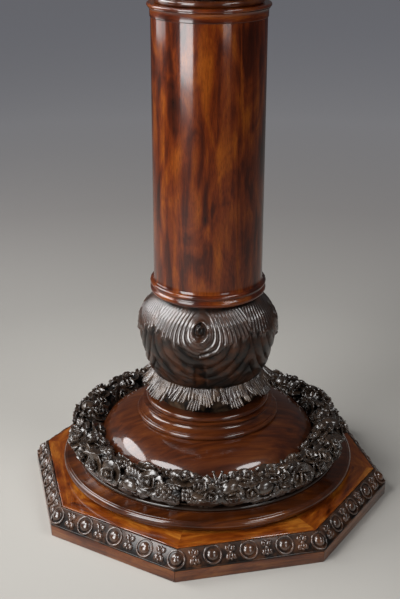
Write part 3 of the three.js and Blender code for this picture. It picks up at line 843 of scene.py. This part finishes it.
def wreath_plan():
    """Where each carved flower and leaf goes: kind, angle, rise, spin and size."""
    plan = [(kind, angle, rise, spin, 1.2) for kind, angle, rise, spin in FRONT_FLOWERS]
    pick = 0
    for rise, shift in FLOWER_ROWS:
        for i in range(FLOWERS_ROUND):
            angle = 360 * (i + shift + dice.uniform(-0.15, 0.15)) / FLOWERS_ROUND - 180
            high = rise + dice.uniform(-7, 7)
            pick += dice.choice((1, 2, 3))
            near = min(
                math.hypot((angle - a) * DEGREE_ROUND, (high - r) * DEGREE_UP)
                for _, a, r, _ in FRONT_FLOWERS
            )
            if near > CLEAR:
                size = dice.uniform(1.0, 1.35) if rise > 0 else dice.uniform(0.75, 0.95)
                plan.append((FLOWERS[pick % len(FLOWERS)], angle, high, dice.uniform(0, 360), size))
    for rise, count, lean in LEAF_ROWS:
        for i in range(count):
            angle = 360 * (i + dice.uniform(-0.3, 0.3)) / count - 180
            kind = dice.choice(("ribbed_leaf", "ribbed_leaf", "blade_leaf"))
            spin = lean + dice.uniform(-35, 35)
            size = dice.uniform(0.9, 1.25) if rise > 0 else dice.uniform(0.6, 0.8)
            plan.append((kind, angle, rise + dice.uniform(-8, 8), spin, size))
    return plan


def add_wreath():
    makers = {
        maker.__name__: carved(maker)
        for maker in (
            rose, daisy, star_flower, ribbed_leaf, blade_leaf, berries, chestnut, pod, bell_flower,
        )
    }
    plan = wreath_plan()
    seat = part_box("wreath_segment_1")[0].z
    part = TURN / WREATH_PARTS
    wide = ROLL_HALF_WIDTH - CARVED_DEPTH
    squash = (ROLL_HALF_HEIGHT - CARVED_DEPTH) / wide
    section = arc(ROLL_RADIUS, ROLL_HEIGHT, wide, 0, 345, 23, squash)
    for k in range(WREATH_PARTS):
        bm = turned(section, steps=60, start=part * k + PART_GAP, sweep=part - 2 * PART_GAP)
        for vert in bm.verts:
            vert.co += vert.normal * CARVED_DEPTH * noise.noise(vert.co / CHISEL)
        for kind, angle, rise, spin, size in plan:
            if int((math.radians(angle) % TURN) / part) != k:
                continue
            place = on_roll(angle, rise, spin, sink=1.0 * MM) @ Matrix.Scale(size, 4)
            add_template(bm, makers[kind], place)
        for vert in bm.verts:
            vert.co.z = max(vert.co.z, seat + 0.2 * MM)
            widest = WREATH_FOOT + WREATH_FLARE * (vert.co.z - seat)
            radius = vert.co.to_2d().length
            if radius > widest:
                vert.co.x *= widest / radius
                vert.co.y *= widest / radius
        face_out(bm)
        piece = finished(bm, f"wreath_carving_{k + 1}", [f"wreath_segment_{k + 1}"], wreath_finish, 60)
        mark_relief(piece, wreath_relief)


def wreath_relief(point):
    """How much of a place on the wreath stands out, from just inside the roll outwards. The roll between
    the flowers lies below it and takes the painted shade of the recesses.
    """
    across = (math.hypot(point.x, point.y) - ROLL_RADIUS) / ROLL_HALF_WIDTH
    up = (point.z - ROLL_HEIGHT) / ROLL_HALF_HEIGHT
    return (math.hypot(across, up) - 0.98) / 0.3


# --- leaf collar and carved bulb ---

FIRST_SCROLL = math.radians(-20)
SCROLLS = 4

# The collar's leaves: angle from the camera, width in degrees, how far the tip stays short in
# millimetres and how far the ribs lean in degrees. The group goes three times round.
COLLAR_LEAVES = (
    (-53.5, 23, 0, -5), (-33, 10, 9, -6), (-24.5, 8, 9, -5), (-13.5, 14, 0, -6), (0.5, 14, 7, 4),
    (11, 5, 19, 3), (16, 7, 9, 2), (27, 14, 0, 1), (39, 7, 4, 4), (47.5, 9, 12, 5), (58, 9, 3, 5),
)
COLLAR_GROUPS = 3
COLLAR_RIB = 2.7  # degrees, from rib to rib
UNDER_RIBS = 105  # the shorter leaves behind, seen between the others


def add_collar():
    """Acanthus tips that hang over the neck: each leaf is a fan of rounded ribs that curl out."""
    low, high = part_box("leaf_collar")
    tall, _ = sizes(low, high)
    hole = PEG + 0.5
    core = outlined(low, (
        (hole, 0), (78, 0), (80, 8), (84, 22), (84, tall - 4), (83, tall), (hole, tall),
    ))
    bm = turned(core, steps=96)
    root_height = high.z - 1 * MM
    longest = 33 * MM
    for rib in range(UNDER_RIBS):
        angle = TURN * rib / UNDER_RIBS
        drop = (22 + 3 * math.sin(angle * 15)) * MM
        tip = around(89 * MM, angle, root_height - drop)
        add_rib(bm, around(82 * MM, angle, root_height), tip, 6, curl=7)
    for group in range(COLLAR_GROUPS):
        for place, width, short, lean in COLLAR_LEAVES:
            ribs = max(2, round(width / COLLAR_RIB))
            middle = math.degrees(CAMERA_ANGLE) + place + 360 * group / COLLAR_GROUPS
            for rib in range(ribs):
                across = (rib + 0.5) / ribs - 0.5
                angle = math.radians(middle + width * across * 0.96)
                drop = longest - (short + 9 * across * across + dice.uniform(0, 3.5)) * MM
                root = around(83 * MM, angle - math.radians(lean) - 0.1 * across, root_height)
                tip = around(dice.uniform(87.5, 90) * MM, angle, root_height - drop)
                add_rib(bm, root, tip, 4.9, curl=13, thick=7.5)
    for vert in bm.verts:
        vert.co.z = max(vert.co.z, low.z)
    face_out(bm)
    piece = finished(bm, "leaf_collar_carving", ["leaf_collar"], collar_finish, 60)
    mark_relief(piece, lambda point: (math.hypot(point.x, point.y) - 83 * MM) / (4.5 * MM))


def add_rib(bm, root, tip, width, curl, thick=6.5):
    """Adds a rounded rib from its root to its tip, which curls outwards; sizes in millimetres."""
    aim = tip - root
    along = aim.normalized()
    out = Vector((root.x, root.y, 0)).normalized()
    across = along.cross(out).normalized()
    basis = Matrix((along, across, along.cross(across))).transposed()
    if basis.col[2].dot(out) < 0:
        basis = Matrix((along, -across, along.cross(-across))).transposed()
    place = Matrix.Translation(root) @ basis.to_4x4()
    rib = bmesh.new()
    pillow(rib, place, aim.length / MM, width, thick, bend=curl, blunt=0.45, rings=12, sides=12)
    join(bm, rib)


BULB_PROFILE = (
    (0, 86.0), (10, 90.0), (22, 95.0), (34, 97.5), (49, 101.5), (67, 103.4), (84, 100.6),
    (104, 91.5), (118, 80.5), (128, 76.0),
)
BULB_TALL = BULB_PROFILE[-1][0]

# The bulb's carving, in millimetres.
EYE_RADIUS = 98.0  # of the bulb, where the eyes are
EYE_HEIGHT = 303.0
EYE_REACH = 19.0
RIB_PITCH = 6.8  # from rib to rib of the scrolled leaves
RIB_DEPTH = 2.9
RIB_SAG = 0.42  # how much the ribs hang down for each millimetre beside the eye
SCROLL_HALF = 77.0  # from an eye to the line between two scrolls
LEAF_THICK = 2.4  # of the leaf that the ribs stand on
TIP_HEIGHT = 264.0  # where the ribs end below the eye
TIP_RISE = 27.0  # how much higher they end between two scrolls
FLUTE_HEIGHT = 292.0  # of the middle that the flutes below run round
FLUTE_PITCH = 15.0
FLUTE_DEPTH = 2.0
STEM_DEPTH = 2.4
FOOT_FADE = (205, 214)  # heights over which the carving comes up out of the foot
HEAD_FADE = (322, 331)  # and dies away below the shaft


def bulb_relief(angle, height):
    """How far the carving stands out at a place on the bulb, in millimetres: ribs that sweep round
    four eyes and end in rounded tips, and broad flutes below them."""
    pitch = TURN / SCROLLS
    nearest = FIRST_SCROLL + pitch * round((angle - FIRST_SCROLL) / pitch)
    across = (angle - nearest) * EYE_RADIUS
    up = height - EYE_HEIGHT
    sag = RIB_SAG * max(0.0, abs(across) - 13.0)
    stretch = 1.12 if up + sag > 0 else 1.3
    far = math.hypot(across, (up + sag) / stretch)
    rib = math.floor(far / RIB_PITCH)
    share = far / RIB_PITCH - rib
    side = 1 if across > 0 else -1
    wander = math.sin(rib * 2.4 + side) * 4.5
    tip_line = TIP_HEIGHT + TIP_RISE * abs(across) / SCROLL_HALF + wander
    body = math.sqrt(max(0.0, 1 - (2 * share - 1) ** 2))
    fine = 0.25 * math.cos(6 * math.pi * share)
    grow = smooth(tip_line - 1.0, tip_line + 5.0, height)
    upper = (RIB_DEPTH * body + fine) * grow
    swell = LEAF_THICK * smooth(tip_line - 3.0, tip_line + 6.0, height)
    low_far = math.hypot(across, (height - FLUTE_HEIGHT) / 1.1)
    flute = math.sin(math.pi * (low_far / FLUTE_PITCH % 1.0))
    lower = FLUTE_DEPTH * math.sqrt(max(0.0, flute)) * (1 - grow)
    total = (upper + swell) * (1 - smooth(*HEAD_FADE, height)) + lower * smooth(*FOOT_FADE, height)
    return total + eye_relief(across, up, far) - STEM_DEPTH * stem(across, height)


def eye_relief(across, up, far):
    """The scroll's eye: a raised ring round a hollow with a seed in it."""
    if far > EYE_REACH:
        return 0.0
    ring = math.exp(-(((far - 12.5) / 2.6) ** 2))
    hollow = smooth(11.5, 8.0, far) if far < 11.5 else 0.0
    seed = math.exp(-((across + 4.5) ** 2 / 9 + (up - 1) ** 2 / 60))
    return 1.8 * ring - 5.0 * hollow + 4.2 * seed


def stem(across, height):
    """The sunk stem below the eye: 1 in its middle."""
    wide = 10.5 - 3.0 * smooth(215, 262, height)
    inside = 1 - smooth(wide - 3.5, wide + 2.0, abs(across))
    return inside * smooth(206, 216, height) * (1 - smooth(236, 258, height))


def wrapped_sheet(flank, steps):
    """A closed skin of revolution that follows a flank of (radius, height) pairs, finely divided."""
    bm = bmesh.new()
    rows = len(flank) - 1
    bmesh.ops.create_grid(bm, x_segments=steps, y_segments=rows, size=0.5)
    for vert in bm.verts:
        radius, height = flank[round((vert.co.y + 0.5) * rows)]
        vert.co = around(radius, TURN * (vert.co.x + 0.5), height)
    bmesh.ops.remove_doubles(bm, verts=bm.verts, dist=1e-6)
    return bm


def add_bulb():
    low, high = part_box("carved_bulb")
    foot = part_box("leaf_collar")[1].z
    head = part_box("shaft_ring")[0].z
    rows = 124
    heights = [BULB_TALL * share for share in shares(rows)]
    flank = [(curve_through(BULB_PROFILE, z) * MM, foot + z * MM) for z in heights]
    inner = 62
    skin = [(inner * MM, foot), *flank, (inner * MM, head)]
    bm = wrapped_sheet(skin, 620)
    for vert in bm.verts:
        radius = vert.co.to_2d().length
        if radius > (inner + 1) * MM:
            out = bulb_relief(angle_of(vert.co), vert.co.z / MM) * MM
            slant = 1 - 0.5 * smooth(300, 333, vert.co.z / MM)
            vert.co.x *= 1 + out * slant / radius
            vert.co.y *= 1 + out * slant / radius
    face_out(bm)
    # The plain inner turning that closes the skin passes behind the carving.
    core = (
        (BORE, low.z), (PEG, low.z), (PEG, foot), (inner + 3, foot),
        (inner + 3, head), (TENON, head), (TENON, high.z), (BORE, high.z),
    )
    join(bm, turned([(radius * MM, height) for radius, height in core], steps=48))
    piece = finished(bm, "bulb_carving", ["carved_bulb"], carved_finish, 80)
    mark_relief(piece, bulb_relief_shade)


def bulb_relief_shade(point):
    """How much of a place on the bulb stands out, which sets its painted shade and its gloss: nothing
    inside the skin.
    """
    if point.to_2d().length < 68 * MM:
        return 0.0
    return bulb_relief(angle_of(point), point.z / MM) / 7.0


# --- shaft ---

SEAM_ANGLE = math.radians(17.2)
SEAM = 0.4 * MM


def add_shaft():
    low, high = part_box("shaft_ring")
    tall, wide = sizes(low, high)
    outline = outlined(low, (
        (TENON_HOLE, 0), (81.5, 0), (83.2, 0.3), *arc(82.5, 5, 5, -72, 62, 14),
        (84.6, 10.2), (84.6, 11.2), *arc(83.5, tall - 4, 4, -60, 56, 14),
        (84.2, tall), (TENON_HOLE, tall),
    ))
    ring = finished(turned(outline), "shaft_ring_turned", ["shaft_ring"], shaft_veneer_finish)
    lay(ring, lay_band(wide * MM))

    low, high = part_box("shaft_veneer")
    radius = high.x
    inner = radius - 1.5 * MM
    seam = SEAM / radius
    start = SEAM_ANGLE + seam / 2
    flare = [(1.6, 0), (0.9, 1.2), (0.35, 3), (0.1, 5.5), (0, 9)]
    foot = [(radius + out * MM, low.z + up * MM) for out, up in flare]
    outline = [(inner, low.z), *foot, (radius, high.z), (inner, high.z)]
    bm = turned(outline, steps=FULL, start=start, sweep=TURN - seam)
    shaft = finished(bm, "shaft_veneered", ["shaft_veneer"], shaft_veneer_finish)
    lay(shaft, lay_round(radius))

    low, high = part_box("shaft_top_band")
    tall, wide = sizes(low, high)
    quirk = 13.2
    outline = outlined(low, (
        (TENON_HOLE, 0), (82.7, 0), (83, 0.4), (83, 1), (83.2, 8.4), (83.4, 9.8), (84.1, 11.6),
        (85.3, quirk - 0.3), (85.6, quirk), (84.8, quirk + 0.2), (84.8, quirk + 1.2),
        (86.6, quirk + 1.5), (87.2, quirk + 2.3), (87.2, tall - 2.6),
        *arc(84.8, tall - 2.4, 2.4, 10, 90, 8), (TENON_HOLE, tall),
    ))
    band = finished(turned(outline), "shaft_top_band_turned", ["shaft_top_band"], shaft_veneer_finish)
    lay(band, lay_band(wide * MM))

    outline = round_edged(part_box("neck_bead"), TENON_HOLE, 14)
    finished(turned(outline), "neck_bead_turned", ["neck_bead"], dome_finish)


# --- capital and top ---

CAPITAL_LEAVES = 10
CAPITAL_RIBS = 5


def capital_bell(share):
    """Radius of the capital's bell, from its foot to its rim."""
    return curve_through(((0, 66), (0.3, 67), (0.6, 75), (0.85, 91), (1.0, 106)), share) * MM


def add_capital():
    """A bell with two tiers of acanthus leaves, the same ribs as the collar's, that curl out."""
    low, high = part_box("capital")
    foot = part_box("neck_bead")[1].z
    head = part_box("abacus")[0].z
    flank = [(capital_bell(t), foot + (head - foot) * t) for t in shares(24)]
    outline = [
        (BORE * MM, low.z), (TENON * MM, low.z), (TENON * MM, foot), *flank,
        (TENON * MM, head), (TENON * MM, high.z), (BORE * MM, high.z),
    ]
    bm = turned(outline, steps=96)
    pitch = TURN / CAPITAL_LEAVES
    for tier, reach in ((0.0, 0.5), (0.5, 0.86)):
        for leaf in range(CAPITAL_LEAVES):
            middle = pitch * (leaf + tier)
            for rib in range(CAPITAL_RIBS):
                across = rib - (CAPITAL_RIBS - 1) / 2
                share = reach - 0.035 * across * across
                root_share = 0.0 if tier == 0 else 0.32
                root = around(
                    capital_bell(root_share) - 1.5 * MM, middle + pitch / 8 * across * 0.9,
                    foot + (head - foot) * root_share - 2 * MM,
                )
                tip = around(
                    capital_bell(share) + 3 * MM, middle + pitch / 7 * across,
                    foot + (head - foot) * share,
                )
                add_rib(bm, root, tip, 11.5, curl=5, thick=7)
    for vert in bm.verts:
        if vert.co.to_2d().length > 50 * MM:
            vert.co.z = min(max(vert.co.z, foot), head)
    face_out(bm)
    piece = finished(bm, "capital_carving", ["capital"], carved_finish, 60)

    def relief(point):
        share = (point.z - foot) / (head - foot)
        return (math.hypot(point.x, point.y) - capital_bell(min(1, max(0, share)))) / (9 * MM)

    mark_relief(piece, relief)


def add_top():
    low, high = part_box("abacus")
    tall, rim = sizes(low, high)
    hollow = [(rim - 1.5 - 12 * math.cos(math.pi / 2 * t), 4 + 17 * t) for t in shares(12)]
    outline = outlined(low, (
        (TENON_HOLE, 0), (112, 0), (113, 1), (113, 3), *hollow,
        (rim - 0.6, tall - 6.2), (rim, tall - 5.4), (rim, tall - 0.6), (rim - 0.6, tall),
        (23, tall), (23, 13.5), (BORE, 13.5), (BORE, 8), (TENON_HOLE, 8),
    ))
    finished(turned(outline), "abacus_turned", ["abacus"], dome_finish)

    low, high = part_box("top_board")
    tall, rim = sizes(low, high)
    nose = (tall - 4) / 2
    outline = outlined(low, (
        (0, 0), (178, 0), (178.6, 0.6), (178.6, 3.6), (rim - nose, 4),
        *arc(rim - nose, 4 + nose, nose, -84, 90, 20), (0, tall),
    ))
    board = finished(turned(outline), "top_board_turned", ["top_board"], shaft_veneer_finish)
    lay(board, lambda point, centre: (point.x, point.y + point.z))


def finish_hidden_pieces():
    """The pieces inside and underneath keep their CAD shapes; the ironwork's edges are eased."""
    finishes = {
        "shaft_stave": pine_finish, "plug": pine_finish,
        "tie_rod": iron_finish, "top_screw": brass_finish,
    }
    for name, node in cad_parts.items():
        for start, finish in finishes.items():
            if name.startswith(start):
                node.data.materials.clear()
                node.data.materials.append(finish)
    for name in ("rod_plate", "rod_nut_lower", "rod_washer", "rod_nut_upper"):
        add_eased(name, iron_finish, 0.5 * MM)


# --- studio ---

FLOOR_RADIUS = 14.0
TONED_FLOOR = 5.0  # the floor's tones run out to this radius
# Painted fall-off of the light: the floor's tones run from pale near the pedestal to grey at its far edge.
FLOOR_TONES = (
    (0.06, "#b9b6b0"), (1.0, "#6f7077"), (0.16, "#a19e99"), (0.3, "#8d8985"), (0.55, "#7c7a78"),
)
FAR_FLOOR_GLOW = 0.125  # painted glow that the camera sees on the far floor besides the lamps' light

# Softboxes that face the column: angle round the pedestal, distance, bottom, top, width in metres,
# watts and shape.
SOFTBOXES = {
    "window_left": (-57, 1.9, 0.31, 1.5, 0.88, 29, "RECTANGLE"),
    "window_left_foot": (-57, 1.9, 0.22, 0.31, 0.88, 0.3, "RECTANGLE"),
    "window_left_head": (-69, 1.9, 1.8, 3.2, 1.6, 57, "ELLIPSE"),
    "window_far_left": (-121, 1.9, 0.42, 1.2, 1.05, 7.5, "RECTANGLE"),
    "window_far_left_head": (-116, 1.9, 1.2, 2.2, 1.8, 40, "ELLIPSE"),
    "window_right": (21, 2.2, 0.39, 1.5, 0.6, 5, "RECTANGLE"),
    "window_right_head": (43, 2.2, 2.2, 3.5, 1.4, 40, "ELLIPSE"),
}


def add_floor():
    """A round studio floor, pale where the pedestal stands and greyer towards its far edge, as painted
    fall-off of the light; the camera alone also sees a painted glow on the far floor.
    """
    bm = bmesh.new()
    bmesh.ops.create_circle(bm, cap_ends=True, segments=96, radius=FLOOR_RADIUS)
    mesh = as_mesh(bm, "floor")
    floor = added("floor", mesh)
    finish, tree, shader = new_finish("studio_paper")
    place = put(tree, "ShaderNodeTexCoord").outputs["Object"]
    out = put(tree, "ShaderNodeVectorMath", {0: place}, operation="LENGTH").outputs["Value"]
    tone = toned(tree, ranged(tree, out, 0.0, TONED_FLOOR), FLOOR_TONES)
    # painted glow: the far floor shines for camera rays only
    seen = put(tree, "ShaderNodeLightPath").outputs["Is Camera Ray"]
    painted_glow_share = ranged(tree, out, 0.5, 2.6, 0.0, FAR_FLOOR_GLOW)
    glow = put(tree, "ShaderNodeMath", {0: painted_glow_share, 1: seen}, operation="MULTIPLY")
    fill(shader, {"Base Color": tone, "Roughness": 0.9, "Specular IOR Level": 0.1})
    fill(shader, {"Emission Color": colour("#f3f4ff"), "Emission Strength": glow.outputs[0]})
    mesh.materials.append(finish)


def add_softbox(name, angle, distance, bottom, top, width, watts, shape):
    """An upright softbox that faces the column."""
    data = bpy.data.lights.new(name, "AREA")
    data.shape = shape
    data.size = width
    data.size_y = top - bottom
    data.energy = watts
    lamp = added(name, data)
    turn = math.radians(angle)
    place = Matrix.Translation(around(distance, turn, (bottom + top) / 2))
    lamp.matrix_world = place @ spun(turn) @ spun(math.pi / 2, "X")


def add_lights():
    """The softboxes, and a dim grey room round them."""
    for name, softbox in SOFTBOXES.items():
        add_softbox(name, *softbox)
    world = bpy.data.worlds.new("studio")
    world.use_nodes = True
    world.node_tree.nodes.clear()
    sky = put(
        world.node_tree, "ShaderNodeBackground", {"Color": colour("#b0b0b4"), "Strength": 0.12},
    )
    put(world.node_tree, "ShaderNodeOutputWorld", {"Surface": sky.outputs[0]})
    bpy.context.scene.world = world


# --- the whole scene ---

add_camera()
add_floor()
add_lights()
add_skirt()
add_carved_edge()
add_deck()
add_base()
add_wreath()
add_neck()
add_collar()
add_bulb()
add_shaft()
add_capital()
add_top()
finish_hidden_pieces()

bpy.context.scene.view_settings.view_transform = "Standard"
